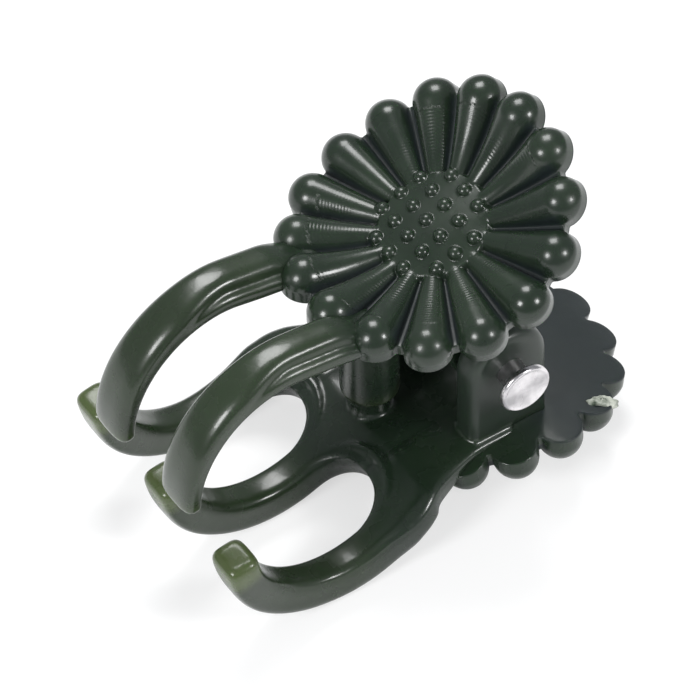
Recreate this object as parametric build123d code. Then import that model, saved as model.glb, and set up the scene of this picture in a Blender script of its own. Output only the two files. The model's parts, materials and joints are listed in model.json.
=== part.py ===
from build123d import *
import math
import os

os.makedirs("parts", exist_ok=True)

# A spring clip for tying orchid stems. The jaws' prongs point to -X, the thumb plates to +X, and the
# hinge axis runs along Y. Everything is drawn about the hinge axis, then set down on the ground plane.
# Lengths are in millimetres and angles in degrees.

# Flower thumb plates
petals_per_flower = 16
petal_turn = 14.7
upper_flower_radius = 11.15
lower_flower_inset = 0.3
petal_end_radius = 1.7
back_face_depth = 0.95
plate_bend_radius = 20.0
groove_floor_height = 0.35
groove_rim_inset = 1.3
disc_radius = 4.1
disc_edge_height = 0.6
disc_top_height = 1.4
petal_start_radius = 3.3
bumps_per_row = 5
bump_pitch = 1.68
bump_radius = 0.62
bump_sink = 0.15

# Vestige of the moulding gate on one petal of the lower flower
gate_petal = 2
gate_length = 0.9
gate_width = 1.3
gate_thickness = 0.8

# Where the plates lie from the hinge axis
upper_plate_slope = 19.9
lower_plate_slope = 1.9
upper_plate_distance = 7.4
upper_plate_rearward = 2.25
lower_plate_rearward = 1.65

# Round grip that the prongs close on
grip_reach = 15.7
lower_grip_drop = 1.8
upper_grip_rise = 0.2
upper_grip_overhang = 0.9

# Upper prongs
upper_grip_radius = 9.5
upper_prong_width = 3.5
upper_prong_spacing = 7.7
upper_prong_thickness = 2.2
upper_tip_angle = 186.5
upper_root_angle = 80.8
upper_root_length = 6.5
upper_prong_edge_radius = 0.75

# Lower prongs and palm
lower_bore_radius = 6.7
lower_prong_thickness = 2.75
lower_prong_width = 2.6
lower_prong_pitch = 8.6
lower_tip_angle = 186.5
lower_root_angle = 295.2
palm_thickness = 2.0
palm_waist_half_width = 8.2
palm_waist_reach = 5.2
palm_shoulder_reach = 11.0
palm_end_reach = 0.5
lower_prong_edge_radius = 0.7

# Hinge ears
lower_ear_thickness = 2.3
lower_ear_radius = 3.2
upper_ear_thickness = 2.0
upper_ear_radius = 2.9
ear_side_clearance = 0.2
web_reach = 6.2
web_drop = 3.2

# Pin
pin_radius = 1.05
pin_running_clearance = 0.08
pin_head_radius = 1.95
pin_head_thickness = 0.55
pin_head_standoff = 1.5
pin_head_edge_radius = 0.15
pin_tail_radius = 1.35
pin_tail_length = 0.7

# Torsion spring
wire_radius = 0.4
coil_pin_clearance = 0.45
coil_turn_gap = 0.5
coil_side_clearance = 0.2
coil_quarters = 13
upper_leg_angle = 60.0
lower_leg_angle = -40.0
leg_seat_clearance = 0.12

# Stop posts
post_forward = 6.85
lower_post_radius = 1.4
lower_post_height = 1.9
upper_post_radius = 2.1
post_gap = 0.1

# Allowances
cut_overrun = 1.0
seat_overlap = 0.5

# Worked out from the sizes above
petal_step = 360.0 / petals_per_flower
lower_flower_radius = upper_flower_radius - lower_flower_inset
lower_outer_radius = lower_bore_radius + lower_prong_thickness
upper_grip_centre = (-grip_reach - upper_grip_overhang, upper_grip_rise)
lower_grip_centre = (-grip_reach, -lower_grip_drop)
lower_rest_level = lower_grip_centre[1] - lower_outer_radius
coil_pitch = 2 * wire_radius + coil_turn_gap
coil_half_length = coil_pitch * coil_quarters / 8 + wire_radius
upper_ear_inner_face = coil_half_length + coil_side_clearance
upper_ear_outer_face = upper_ear_inner_face + upper_ear_thickness
lower_ear_inner_face = upper_ear_outer_face + ear_side_clearance
ear_outer_face = lower_ear_inner_face + lower_ear_thickness


def on_circle(centre, radius, angle):
    """Point of a circle in the side view, as (x, z)."""
    turn = math.radians(angle)
    return (centre[0] + radius * math.cos(turn), centre[1] + radius * math.sin(turn))


def slope_vector(angle):
    """Unit direction in the side view, as (x, z)."""
    return (math.cos(math.radians(angle)), math.sin(math.radians(angle)))


def along(point, direction, distance):
    """The point that lies a distance from another in a direction of the side view."""
    return (point[0] + direction[0] * distance, point[1] + direction[1] * distance)


def crossing(point_a, direction_a, point_b, direction_b):
    """Where two lines of the side view cross."""
    across = direction_a[0] * direction_b[1] - direction_a[1] * direction_b[0]
    gap = (point_b[0] - point_a[0], point_b[1] - point_a[1])
    share = (gap[0] * direction_b[1] - gap[1] * direction_b[0]) / across
    return along(point_a, direction_a, share)


def petal_lift(flower_radius, turn):
    """How far the end of a petal is bent outward, by where it lies round the flower."""
    reach = (flower_radius - petal_end_radius) * math.cos(math.radians(turn))
    return plate_bend_radius - math.sqrt(plate_bend_radius**2 - reach**2)


def lower_bulb_drop():
    """How far the lowest petal end hangs below the lower plate's inner face, straight down."""
    slope = math.radians(lower_plate_slope)
    turn = petal_turn - petal_step
    petal_reach = lower_flower_radius - petal_end_radius
    rearward = lower_plate_rearward + petal_reach * math.cos(math.radians(turn))
    outward = back_face_depth + petal_lift(lower_flower_radius, turn)
    return outward * math.cos(slope) + rearward * math.sin(slope) + petal_end_radius


# The lower petals and the lower prongs touch the ground together, which sets how low the plate lies
lower_plate_distance = (-lower_rest_level - lower_bulb_drop()) / math.cos(math.radians(lower_plate_slope))

upper_rear = slope_vector(upper_plate_slope)
upper_out = slope_vector(upper_plate_slope + 90.0)
lower_rear = slope_vector(-lower_plate_slope)
lower_out = slope_vector(-lower_plate_slope - 90.0)
upper_back_point = along((0, 0), upper_out, upper_plate_distance)
lower_back_point = along((0, 0), lower_out, lower_plate_distance)
inner_palm_start = on_circle(lower_grip_centre, lower_bore_radius, lower_root_angle)
outer_palm_start = on_circle(lower_grip_centre, lower_outer_radius, lower_root_angle)


def upper_plate_frame():
    """Location of the upper flower: its axis points up and out, its X runs to the rear."""
    centre = along(upper_back_point, upper_rear, upper_plate_rearward)
    centre = along(centre, upper_out, back_face_depth)
    return Pos(centre[0], 0, centre[1]) * Rot(0, -upper_plate_slope, 0)


def lower_plate_frame():
    """Location of the lower flower: its axis points down and out, its X runs to the rear."""
    centre = along(lower_back_point, lower_rear, lower_plate_rearward)
    centre = along(centre, lower_out, back_face_depth)
    return Pos(centre[0], 0, centre[1]) * Rot(0, lower_plate_slope, 0) * Rot(180, 0, 0)


def side_face(lines):
    """Face in the side view, from edges drawn on the XZ plane."""
    return make_face(Wire(lines))


def side_line(start, end):
    return Line((start[0], 0, start[1]), (end[0], 0, end[1]))


def side_arc(start, middle, end):
    return ThreePointArc((start[0], 0, start[1]), (middle[0], 0, middle[1]), (end[0], 0, end[1]))


def slab(face, y_from, y_to):
    """Side-view face thickened across the clip, from y_from to y_to."""
    return Pos(0, y_from, 0) * extrude(face, amount=y_to - y_from, dir=(0, 1, 0))


def cross_rod(radius, y_from, y_to, centre=(0, 0)):
    """Round rod along Y."""
    rod = Cylinder(radius, y_to - y_from, align=(Align.CENTER, Align.CENTER, Align.MIN))
    return Pos(centre[0], y_from, centre[1]) * Rot(-90, 0, 0) * rod


def petal(flower_radius):
    """One petal: a cone whose point lies on the flower's axis, closed by a ball at its outer end."""
    petal_reach = flower_radius - petal_end_radius
    lean = math.asin(petal_end_radius / petal_reach)
    start = (petal_start_radius, 0)
    start_top = (petal_start_radius, petal_start_radius * math.tan(lean))
    touch = (petal_reach - petal_end_radius * math.sin(lean), petal_end_radius * math.cos(lean))
    half_way = (math.pi / 2 + lean) / 2
    bulge = (petal_reach + petal_end_radius * math.cos(half_way), petal_end_radius * math.sin(half_way))
    tip = (flower_radius, 0)
    outline = Wire(
        [
            Line(start, start_top),
            Line(start_top, touch),
            ThreePointArc(touch, bulge, tip),
            Line(tip, start),
        ]
    )
    return revolve(make_face(outline), Axis.X)


def seed_disc_height(radius):
    """Height of the domed middle disc over the petals' axes, at a distance from its centre."""
    rise = disc_top_height - disc_edge_height
    ball = (disc_radius**2 + rise**2) / (2 * rise)
    return disc_top_height - ball + math.sqrt(ball**2 - radius**2)


def bump_places():
    """Places of the seed bumps: a square grid without its corners."""
    half = bumps_per_row // 2
    for column in range(-half, half + 1):
        for row in range(-half, half + 1):
            if abs(column) == half and abs(row) == half:
                continue
            yield (column * bump_pitch, row * bump_pitch)


def bend_rod(radius):
    """Round rod along Y, about the axis that the thumb plates are bent round."""
    half_width = upper_flower_radius + cut_overrun
    return cross_rod(radius, -half_width, half_width, (0, plate_bend_radius))


def petal_place(flower_radius, turn):
    """Turns a petal round the flower and tilts it outward with the bent plate."""
    tilt = math.degrees(math.asin(petal_lift(flower_radius, turn) / (flower_radius - petal_end_radius)))
    return Rot(0, 0, turn) * Rot(0, -tilt, 0)


def flower(flower_radius, turn):
    """Flower plate on its own axes: its middle lies at height 0, and its ends are bent upward."""
    edge = (disc_radius, disc_edge_height)
    middle = (disc_radius / 2, seed_disc_height(disc_radius / 2))
    top = (0, disc_top_height)
    outline = Wire(
        [
            Line((0, -back_face_depth), (disc_radius, -back_face_depth)),
            Line((disc_radius, -back_face_depth), edge),
            ThreePointArc(edge, middle, top),
            Line(top, (0, -back_face_depth)),
        ]
    )
    disc = revolve(Rot(90, 0, 0) * make_face(outline), Axis.Z)
    plate_height = 2 * (back_face_depth + petal_lift(flower_radius, 0))
    plate = Cylinder(flower_radius - groove_rim_inset, plate_height)
    plate = plate - bend_rod(plate_bend_radius - groove_floor_height)
    turns = [turn + petal_step * k for k in range(petals_per_flower)]
    petals = [petal_place(flower_radius, angle) * petal(flower_radius) for angle in turns]
    bumps = [
        Pos(x, y, seed_disc_height(math.hypot(x, y)) - bump_sink) * Sphere(bump_radius)
        for x, y in bump_places()
    ]
    body = plate + disc + petals + bumps
    return body & bend_rod(plate_bend_radius + back_face_depth)


def ring_bar(centre, outer_radius, thickness, width, edge_radius, root_angle, tip_angle, root_length=0):
    """Bar with rounded edges that follows a circle from its root to its tip, with a straight root."""
    start = on_circle(centre, outer_radius - thickness / 2, root_angle)
    outward = slope_vector(root_angle)
    onward = slope_vector(root_angle + 90.0)
    cut = Plane((start[0], 0, start[1]), (outward[0], 0, outward[1]), (onward[0], 0, onward[1]))
    section = cut * RectangleRounded(thickness, width, edge_radius)
    middle = Axis((centre[0], 0, centre[1]), (0, -1, 0))
    bar = revolve(section, middle, tip_angle - root_angle)
    if root_length > 0:
        bar = bar + extrude(section, amount=root_length, dir=(-onward[0], 0, -onward[1]))
    return bar


def upper_prong(centre_y):
    """One upper prong: a bar that rises from under the flower and curls round the grip."""
    bar = ring_bar(
        upper_grip_centre,
        upper_grip_radius,
        upper_prong_thickness,
        upper_prong_width,
        upper_prong_edge_radius,
        upper_root_angle,
        upper_tip_angle,
        upper_root_length,
    )
    return Pos(0, centre_y, 0) * bar


def ear_face(foot_direction, out_direction, radius, reach, web=0, drop=0):
    """Side view of an ear: round about the hinge axis, straight up to its plate, with a web in front."""
    front_low = along((0, 0), foot_direction, -radius)
    rear_low = along((0, 0), foot_direction, radius)
    bottom = along((0, 0), out_direction, -radius)
    front_high = along(front_low, out_direction, reach)
    rear_high = along(rear_low, out_direction, reach)
    lines = [side_arc(front_low, bottom, rear_low), side_line(rear_low, rear_high)]
    if web > 0:
        web_high = along(along((0, 0), foot_direction, -web), out_direction, reach)
        web_foot = along(front_low, out_direction, reach - drop)
        lines += [
            side_line(rear_high, web_high),
            side_line(web_high, web_foot),
            side_line(web_foot, front_low),
        ]
    else:
        lines += [side_line(rear_high, front_high), side_line(front_high, front_low)]
    return side_face(lines)


def both_sides(face, inner, outer):
    """A slab on each side of the clip's middle plane."""
    return [slab(face, inner, outer), slab(face, -outer, -inner)]


def post_axis_point(height):
    """Point of the stop posts' common axis, at a height over the lower plate's inner face."""
    foot = along(lower_back_point, lower_rear, -post_forward)
    return along(foot, lower_out, -height)


def post(radius, height_from, height_to):
    """Round post, square to the lower plate, between two heights over its inner face."""
    start = post_axis_point(height_from)
    rod = Cylinder(radius, height_to - height_from, align=(Align.CENTER, Align.CENTER, Align.MIN))
    return Pos(start[0], 0, start[1]) * Rot(0, lower_plate_slope, 0) * rod


def seated(pieces, frame):
    """Pieces cut off just inside the bent plate that carries them."""
    rod = frame * bend_rod(plate_bend_radius + back_face_depth - seat_overlap)
    return [piece - rod for piece in pieces]


def make_upper_jaw():
    """Upper moulding: flower plate, two prongs, two inner ears and the upper stop post."""
    frame = upper_plate_frame()
    half_spacing = upper_prong_spacing / 2
    prongs = [upper_prong(side * half_spacing) for side in (-1, 1)]
    lift = petal_lift(upper_flower_radius, 0)
    reach = upper_plate_distance + 2 * seat_overlap + lift
    face = ear_face(upper_rear, upper_out, upper_ear_radius, reach, web_reach, web_drop)
    ears = both_sides(face, upper_ear_inner_face, upper_ear_outer_face)
    seat = crossing(post_axis_point(0), lower_out, upper_back_point, upper_rear)
    foot = post_axis_point(0)
    post_top = math.hypot(seat[0] - foot[0], seat[1] - foot[1]) + lift
    stop = post(upper_post_radius, lower_post_height + post_gap, post_top)
    jaw = frame * flower(upper_flower_radius, -petal_turn) + prongs + seated(ears + [stop], frame)
    hole_radius = pin_radius + pin_running_clearance
    hole = cross_rod(hole_radius, -ear_outer_face, ear_outer_face)
    return jaw - hole


def lower_prong(centre_y):
    """One lower prong: a bar that follows the grip from the palm to its tip."""
    bar = ring_bar(
        lower_grip_centre,
        lower_outer_radius,
        lower_prong_thickness,
        lower_prong_width,
        lower_prong_edge_radius,
        lower_root_angle - 360.0,
        lower_tip_angle - 360.0,
    )
    return Pos(0, centre_y, 0) * bar


def palm_side_face():
    """Side view of the palm: it climbs from the grip and levels out into the lower plate."""
    climb = slope_vector(lower_root_angle - 270.0)
    inner_bend = crossing(inner_palm_start, climb, lower_back_point, lower_rear)
    palm_outside = along(lower_back_point, lower_out, palm_thickness)
    outer_bend = crossing(outer_palm_start, climb, palm_outside, lower_rear)
    inner_end = along(lower_back_point, lower_rear, -palm_end_reach)
    outer_end = along(palm_outside, lower_rear, -palm_end_reach)
    return side_face(
        [
            side_line(inner_palm_start, inner_bend),
            side_line(inner_bend, inner_end),
            side_line(inner_end, outer_end),
            side_line(outer_end, outer_bend),
            side_line(outer_bend, outer_palm_start),
            side_line(outer_palm_start, inner_palm_start),
        ]
    )


def palm_plan_face():
    """Plan of the palm: a shield that narrows to a waist, with two round slot roots."""
    half_width = lower_prong_pitch + lower_prong_width / 2
    front = inner_palm_start[0] - cut_overrun
    outline = []
    for side in (-1, 1):
        shoulder = (-palm_shoulder_reach, side * half_width)
        waist = (-palm_waist_reach, side * palm_waist_half_width)
        outline += [
            Line((front, side * half_width), shoulder),
            TangentArc(shoulder, waist, tangent=(1, 0)),
            Line(waist, (-palm_end_reach, side * palm_waist_half_width)),
        ]
    for x, width in ((front, half_width), (-palm_end_reach, palm_waist_half_width)):
        outline.append(Line((x, -width), (x, width)))
    plan = make_face(Wire(outline))
    slot_width = lower_prong_pitch - lower_prong_width
    for side in (-1, 1):
        centre_y = side * lower_prong_pitch / 2
        plan = plan - Pos(front, centre_y) * Rectangle(2 * cut_overrun, slot_width)
        plan = plan - Pos(inner_palm_start[0], centre_y) * Circle(slot_width / 2)
    return plan


def palm():
    """The palm that joins the three lower prongs and carries them to the lower plate."""
    half_width = lower_prong_pitch + lower_prong_width / 2
    side_body = slab(palm_side_face(), -half_width - cut_overrun, half_width + cut_overrun)
    reach = lower_outer_radius + lower_grip_drop + cut_overrun
    plan_body = Pos(0, 0, -reach) * extrude(palm_plan_face(), amount=2 * reach, dir=(0, 0, 1))
    return side_body & plan_body


def gate_vestige():
    """Small stub that stands out of one petal of the lower flower, level with the flat face."""
    length = gate_length + petal_end_radius
    block = Box(
        length, gate_width, gate_thickness, align=(Align.MIN, Align.CENTER, Align.MIN)
    )
    place = petal_place(lower_flower_radius, petal_turn + petal_step * gate_petal)
    start = lower_flower_radius + gate_length - length
    return place * Pos(start, 0, -back_face_depth) * block


def make_lower_jaw():
    """Lower moulding: flower plate, three prongs with their palm, two outer ears and the lower post."""
    jaw = lower_plate_frame() * (flower(lower_flower_radius, petal_turn) + gate_vestige())
    reach = lower_plate_distance + seat_overlap
    face = ear_face(lower_rear, lower_out, lower_ear_radius, reach)
    ears = both_sides(face, lower_ear_inner_face, ear_outer_face)
    foot = post(lower_post_radius, -seat_overlap, lower_post_height)
    prongs = [lower_prong(side * lower_prong_pitch) for side in (-1, 0, 1)]
    jaw = jaw + [palm()] + prongs + ears + [foot]
    hole = cross_rod(pin_radius, -ear_outer_face - cut_overrun, ear_outer_face + cut_overrun)
    return jaw - hole


def make_hinge_pin():
    """Headed pin through all four ears. The head stands off the near ear, the far end is spread."""
    head_inner = -ear_outer_face - pin_head_standoff
    head_outer = head_inner - pin_head_thickness
    tail_end = ear_outer_face + pin_tail_length
    shaft = cross_rod(pin_radius, head_inner, tail_end)
    head = cross_rod(pin_head_radius, head_outer, head_inner)
    head = fillet(head.edges().filter_by(GeomType.CIRCLE), pin_head_edge_radius)
    tail = Cone(pin_tail_radius, pin_radius, pin_tail_length, align=(Align.CENTER, Align.CENTER, Align.MIN))
    tail = Pos(0, tail_end, 0) * Rot(90, 0, 0) * tail
    return shaft + head + tail


def biarc(start, start_way, end, end_way):
    """Two arcs that join two points and leave along the given directions."""
    gap = end - start
    both = start_way + end_way
    bend = 2 * (1 - start_way.dot(end_way))
    reach = (math.sqrt(gap.dot(both) ** 2 + bend * gap.dot(gap)) - gap.dot(both)) / bend
    before = start + start_way * reach
    after = end - end_way * reach
    middle = (before + after) * 0.5
    first = Edge.make_tangent_arc(start, start_way, middle)
    second = Edge.make_tangent_arc(middle, (after - before).normalized(), end)
    return [first, second]


def coil_point(angle, y, radius):
    return Vector(radius * math.cos(angle), y, radius * math.sin(angle))


def coil_way(angle, rise):
    """Direction of the wire where it winds with falling angle and climbs along Y."""
    return Vector(math.sin(angle), rise, -math.cos(angle)).normalized()


def leg_length(start, angle, plate_out, plate_distance):
    """Length of a straight leg that ends just short of its plate."""
    way = slope_vector(angle)
    toward = way[0] * plate_out[0] + way[1] * plate_out[1]
    have = start.X * plate_out[0] + start.Z * plate_out[1]
    return (plate_distance - wire_radius - leg_seat_clearance - have) / toward


def spring_edges():
    """Centre line of the spring: lower leg, coil of quarter-turn biarcs, upper leg."""
    radius = pin_radius + coil_pin_clearance + wire_radius
    quarter_rise = coil_pitch / 4
    steady_rise = coil_pitch / (2 * math.pi * radius)
    start_y = -quarter_rise * coil_quarters / 2
    first = math.radians(lower_leg_angle - 90.0)
    points = []
    ways = []
    for k in range(coil_quarters + 1):
        angle = first - k * math.pi / 2 * coil_sweep_share()
        rise = 0 if k in (0, coil_quarters) else steady_rise
        points.append(coil_point(angle, start_y + k * quarter_rise, radius))
        ways.append(coil_way(angle, rise))
    coil = []
    for k in range(coil_quarters):
        coil += biarc(points[k], ways[k], points[k + 1], ways[k + 1])
    lower = leg_length(points[0], lower_leg_angle, lower_out, lower_plate_distance)
    upper = leg_length(points[-1], upper_leg_angle, upper_out, upper_plate_distance)
    lower_end = points[0] - ways[0] * lower
    upper_end = points[-1] + ways[-1] * upper
    return [Edge.make_line(lower_end, points[0])] + coil + [Edge.make_line(points[-1], upper_end)]


def coil_sweep_share():
    """Turn of one coil step over a quarter turn, so that the coil ends in line with the upper leg."""
    needed = coil_quarters * 90.0
    between_legs = lower_leg_angle - upper_leg_angle - 180.0
    whole_turns = round((needed - between_legs) / 360.0)
    return (360.0 * whole_turns + between_legs) / needed


def least_gap(edges):
    """Least space between stretches of wire that lie over half a turn apart, on sampled points."""
    samples_per_edge = 12
    radius = pin_radius + coil_pin_clearance + wire_radius
    points = []
    travelled = []
    length = 0
    for edge in edges:
        for k in range(samples_per_edge):
            points.append(edge.position_at(k / samples_per_edge))
            travelled.append(length + edge.length * k / samples_per_edge)
        length += edge.length
    least = math.inf
    for i in range(len(points)):
        for j in range(i + 1, len(points)):
            if travelled[j] - travelled[i] > math.pi * radius:
                least = min(least, (points[i] - points[j]).length)
    return least - 2 * wire_radius


def make_torsion_spring():
    """Round wire wound on the pin, with one straight leg to each thumb plate."""
    edges = spring_edges()
    print("spring turns", coil_quarters * coil_sweep_share() / 4, "least gap", least_gap(edges))
    path = Wire(edges)
    start_plane = Plane(origin=path @ 0, z_dir=path % 0)
    return sweep(start_plane * Circle(wire_radius), path=path)


pieces = {
    "lower_jaw": make_lower_jaw(),
    "upper_jaw": make_upper_jaw(),
    "hinge_pin": make_hinge_pin(),
    "torsion_spring": make_torsion_spring(),
}

boxes = [piece.bounding_box() for piece in pieces.values()]
low_x = min(box.min.X for box in boxes)
high_x = max(box.max.X for box in boxes)
low_y = min(box.min.Y for box in boxes)
high_y = max(box.max.Y for box in boxes)
low_z = min(box.min.Z for box in boxes)
set_down = Pos(-(low_x + high_x) / 2, -(low_y + high_y) / 2, -low_z)
print("hinge axis at", set_down.position.X, set_down.position.Y, set_down.position.Z)

for name, piece in pieces.items():
    placed = set_down * piece
    box = placed.bounding_box()
    print(name, "volume", piece.volume, "from", box.min, "to", box.max)
    export_step(placed, f"parts/{name}.step")
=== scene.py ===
# %% [markdown]
# An orchid clip: two green plastic jaws, each with a flower for a thumb plate, turning on a steel pin
# against a small torsion spring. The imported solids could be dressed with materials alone, but a
# moulding's soft forms would be missing. So they are loaded first as a gauge, and every piece below is
# laid over them in the same place. The sizes are kept in millimetres about the hinge axis, because both
# jaws are easiest to describe from there, and one helper carries them to metres on the ground.

# %% Load the frame
import json
import math
import bpy
import numpy as np
from mathutils import Matrix


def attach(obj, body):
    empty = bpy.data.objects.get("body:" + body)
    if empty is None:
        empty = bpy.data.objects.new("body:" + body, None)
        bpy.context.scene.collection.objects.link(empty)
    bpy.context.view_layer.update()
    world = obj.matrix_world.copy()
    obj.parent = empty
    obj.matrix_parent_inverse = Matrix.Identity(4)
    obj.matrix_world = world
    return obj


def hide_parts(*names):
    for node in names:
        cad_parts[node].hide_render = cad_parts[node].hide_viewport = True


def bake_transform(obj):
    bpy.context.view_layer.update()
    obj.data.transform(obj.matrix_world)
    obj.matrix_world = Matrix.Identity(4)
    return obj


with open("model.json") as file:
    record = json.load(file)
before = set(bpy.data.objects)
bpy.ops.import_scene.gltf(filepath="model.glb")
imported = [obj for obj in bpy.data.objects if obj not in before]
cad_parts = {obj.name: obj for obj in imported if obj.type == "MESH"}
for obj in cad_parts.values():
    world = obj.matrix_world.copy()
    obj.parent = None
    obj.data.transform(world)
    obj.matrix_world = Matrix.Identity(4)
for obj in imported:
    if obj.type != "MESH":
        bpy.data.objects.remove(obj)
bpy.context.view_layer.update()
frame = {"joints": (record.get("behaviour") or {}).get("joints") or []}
hinge = np.array(frame["joints"][0]["pos_m"]) * 1000
lower_body = "lower_jaw_body"
upper_body = "upper_jaw_body"
print("hinge axis in millimetres", hinge)


# %% [markdown]
# The photograph was measured in millimetres and degrees, and Blender works in metres. Every number
# could be divided by a thousand where it stands, but then it would be hard to read. One helper does it
# for whole arrays instead. A second one gives the smooth step that all widths and thicknesses use when
# they change along a piece, because a real moulding has no sudden steps.

# %% Units and easing
def to_row(points):
    """Hinge-centred millimetres to metres on the ground: (p + hinge) / 1000."""
    return (np.asarray(points, float) + hinge) / 1000


def ease(values, start, end):
    """Smooth step from 0 at start to 1 at end: t * t * (3 - 2t)."""
    t = np.clip((np.asarray(values, float) - start) / (end - start), 0, 1)
    return t * t * (3 - 2 * t)


def path_length(line):
    """Distance of each point from the start, measured along the line: the running sum of |p1 - p0|."""
    return np.concatenate([[0], np.cumsum(np.linalg.norm(np.diff(line, axis=0), axis=1))])


print("halfway up a smooth step", ease(0.5, 0, 1))


# %% [markdown]
# Every surface here is a rectangular grid of points: one parameter runs along the piece and one round
# it, so a whole shape is a single array. The faces could be found point by point, but array arithmetic
# on the row and column numbers gives them all at once. The grid closes on itself round the piece, and
# each end is shut with one point and a fan of triangles.

# %% Closed grids
def tube_faces(rows, columns):
    """Quads of a grid of rows that closes along its columns. The point in row i and column j has the
    number i * columns + j."""
    row, column = np.meshgrid(np.arange(rows - 1), np.arange(columns), indexing="ij")
    here = row * columns + column
    beside = row * columns + (column + 1) % columns
    return np.stack([here, beside, beside + columns, here + columns], axis=-1).reshape(-1, 4)


def closed_grid(grid):
    """Points and faces of a grid (rows, columns, 3) that closes round its columns, with both ends shut
    by a fan to the mean of the end row."""
    rows, columns = grid.shape[:2]
    points = np.concatenate([grid.reshape(-1, 3), [grid[0].mean(0)], [grid[-1].mean(0)]])
    quads = tube_faces(rows, columns)
    near = np.arange(columns)
    next_near = (near + 1) % columns
    start_fan = np.stack([np.full(columns, rows * columns), next_near, near], axis=-1)
    last = (rows - 1) * columns
    end_fan = np.stack([np.full(columns, rows * columns + 1), last + near, last + next_near], axis=-1)
    return points, quads, np.concatenate([start_fan, end_fan])


print("faces round a grid of 3 by 8", len(tube_faces(3, 8)))


# %% [markdown]
# A renderer needs to know which side of a face is outside. It could be left to Blender's own
# recalculation, but the signed volume answers it exactly: where it comes out negative, the closed grid
# is inside out and its faces are turned. The arrays then go into the mesh in one go.

# %% Meshes from grids
def volume_sign(points, quads, triangles):
    """Signed volume of the closed mesh: the sum of p0 . (p1 x p2) / 6 over its triangles."""
    halves = np.concatenate([quads[:, [0, 1, 2]], quads[:, [0, 2, 3]], triangles])
    corner = points[halves]
    return np.einsum("ij,ij->i", corner[:, 0], np.cross(corner[:, 1], corner[:, 2])).sum() / 6


def mesh_from(name, parts):
    """One mesh from several closed grids given in hinge-centred millimetres, all turned outward."""
    points, loops, sizes = [], [], []
    offset = 0
    for part_points, quads, triangles in parts:
        if volume_sign(part_points, quads, triangles) < 0:
            quads = quads[:, ::-1]
            triangles = triangles[:, ::-1]
        points.append(part_points)
        loops += [(quads + offset).ravel(), (triangles + offset).ravel()]
        sizes += [np.full(len(quads), 4), np.full(len(triangles), 3)]
        offset += len(part_points)
    points = to_row(np.concatenate(points))
    loops = np.concatenate(loops)
    sizes = np.concatenate(sizes)
    starts = np.concatenate([[0], np.cumsum(sizes)[:-1]])
    mesh = bpy.data.meshes.new(name)
    mesh.vertices.add(len(points))
    mesh.vertices.foreach_set("co", points.astype(np.float32).ravel())
    mesh.loops.add(len(loops))
    mesh.loops.foreach_set("vertex_index", loops.astype(np.int32))
    mesh.polygons.add(len(sizes))
    mesh.polygons.foreach_set("loop_start", starts.astype(np.int32))
    mesh.polygons.foreach_set("use_smooth", np.full(len(sizes), True))
    mesh.update(calc_edges=True)
    mesh.validate()
    piece = bpy.data.objects.new(name, mesh)
    bpy.context.scene.collection.objects.link(piece)
    print(name, "points", len(points), "faces", len(sizes))
    return piece


def read_points(piece):
    """The piece's points in hinge-centred millimetres."""
    flat = np.empty(len(piece.data.vertices) * 3, np.float32)
    piece.data.vertices.foreach_get("co", flat)
    return flat.reshape(-1, 3).astype(float) * 1000 - hinge


# %% [markdown]
# The two mouldings came out of one kind of tool, so their flowers share every rule and differ only in
# size. A real petal is a slim cone that ends in a ball, cut by the flat of the plate. Balls and cones
# could be joined as solids, but their meeting lines would stay knife-sharp. A height over the plate is
# better here: petals, groove floor, seed disc and seeds are each a height, and a soft maximum melts
# them together as a mould cutter does.

# %% Petal heights
petal_count = 16
petal_step = 360.0 / petal_count
petal_phase = -14.7
groove_floor_height = 0.12
groove_floor_fall = 1.5
groove_softness = 0.02
print("petals", petal_count, "step in degrees", petal_step)


def soft_max(a, b, width):
    """Maximum of a and b with its corner rounded: (a + b + sqrt((a - b)^2 + width^2)) / 2."""
    return (a + b + np.sqrt((a - b) ** 2 + width**2)) / 2


def squared_height(radius, turn, ball_radius, reach, floor_reach):
    """Square of the height over the plane through the middles of the petals' end balls. At x along a
    petal and y across it, the cone gives (x tan a)^2 - y^2 and the ball b^2 - (x - reach)^2 - y^2. The
    groove floor gives f^2 - 1.5 (r - floor_reach)^2 past its rim. A soft maximum joins them."""
    across = np.radians((turn - petal_phase + petal_step / 2) % petal_step - petal_step / 2)
    x = radius * np.cos(across)
    y = radius * np.sin(across)
    lean = math.asin(ball_radius / reach)
    touch = reach - ball_radius * math.sin(lean)
    cone = (x * math.tan(lean)) ** 2
    ball = ball_radius**2 - (x - reach) ** 2
    petal = np.where(x < touch, cone, ball) - y**2
    floor = groove_floor_height**2 - np.maximum(radius - floor_reach, 0) ** 2 * groove_floor_fall
    return soft_max(petal, floor, groove_softness)


# %% [markdown]
# The middle of the real flower is a low dome with rows of round bumps, like the seed head of a daisy.
# Each bump could be a ball of its own, set on the dome, but then its foot would cut in as a hard line.
# As one more height it melts into the dome. The rows make a square lattice with its corners left out.

# %% Seed disc
disc_radius = 4.0
disc_edge_height = 0.62
disc_top_height = 1.25
disc_wall_slope = 2.2
seed_pitch = 1.68
seed_radius = 0.54
seed_sink = 0.1
seed_shift = (-0.17, 0.31)
seed_lines = np.arange(-2, 3)
seed_corner = 4
seed_softness = 0.05
below_all = -1.0


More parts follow.
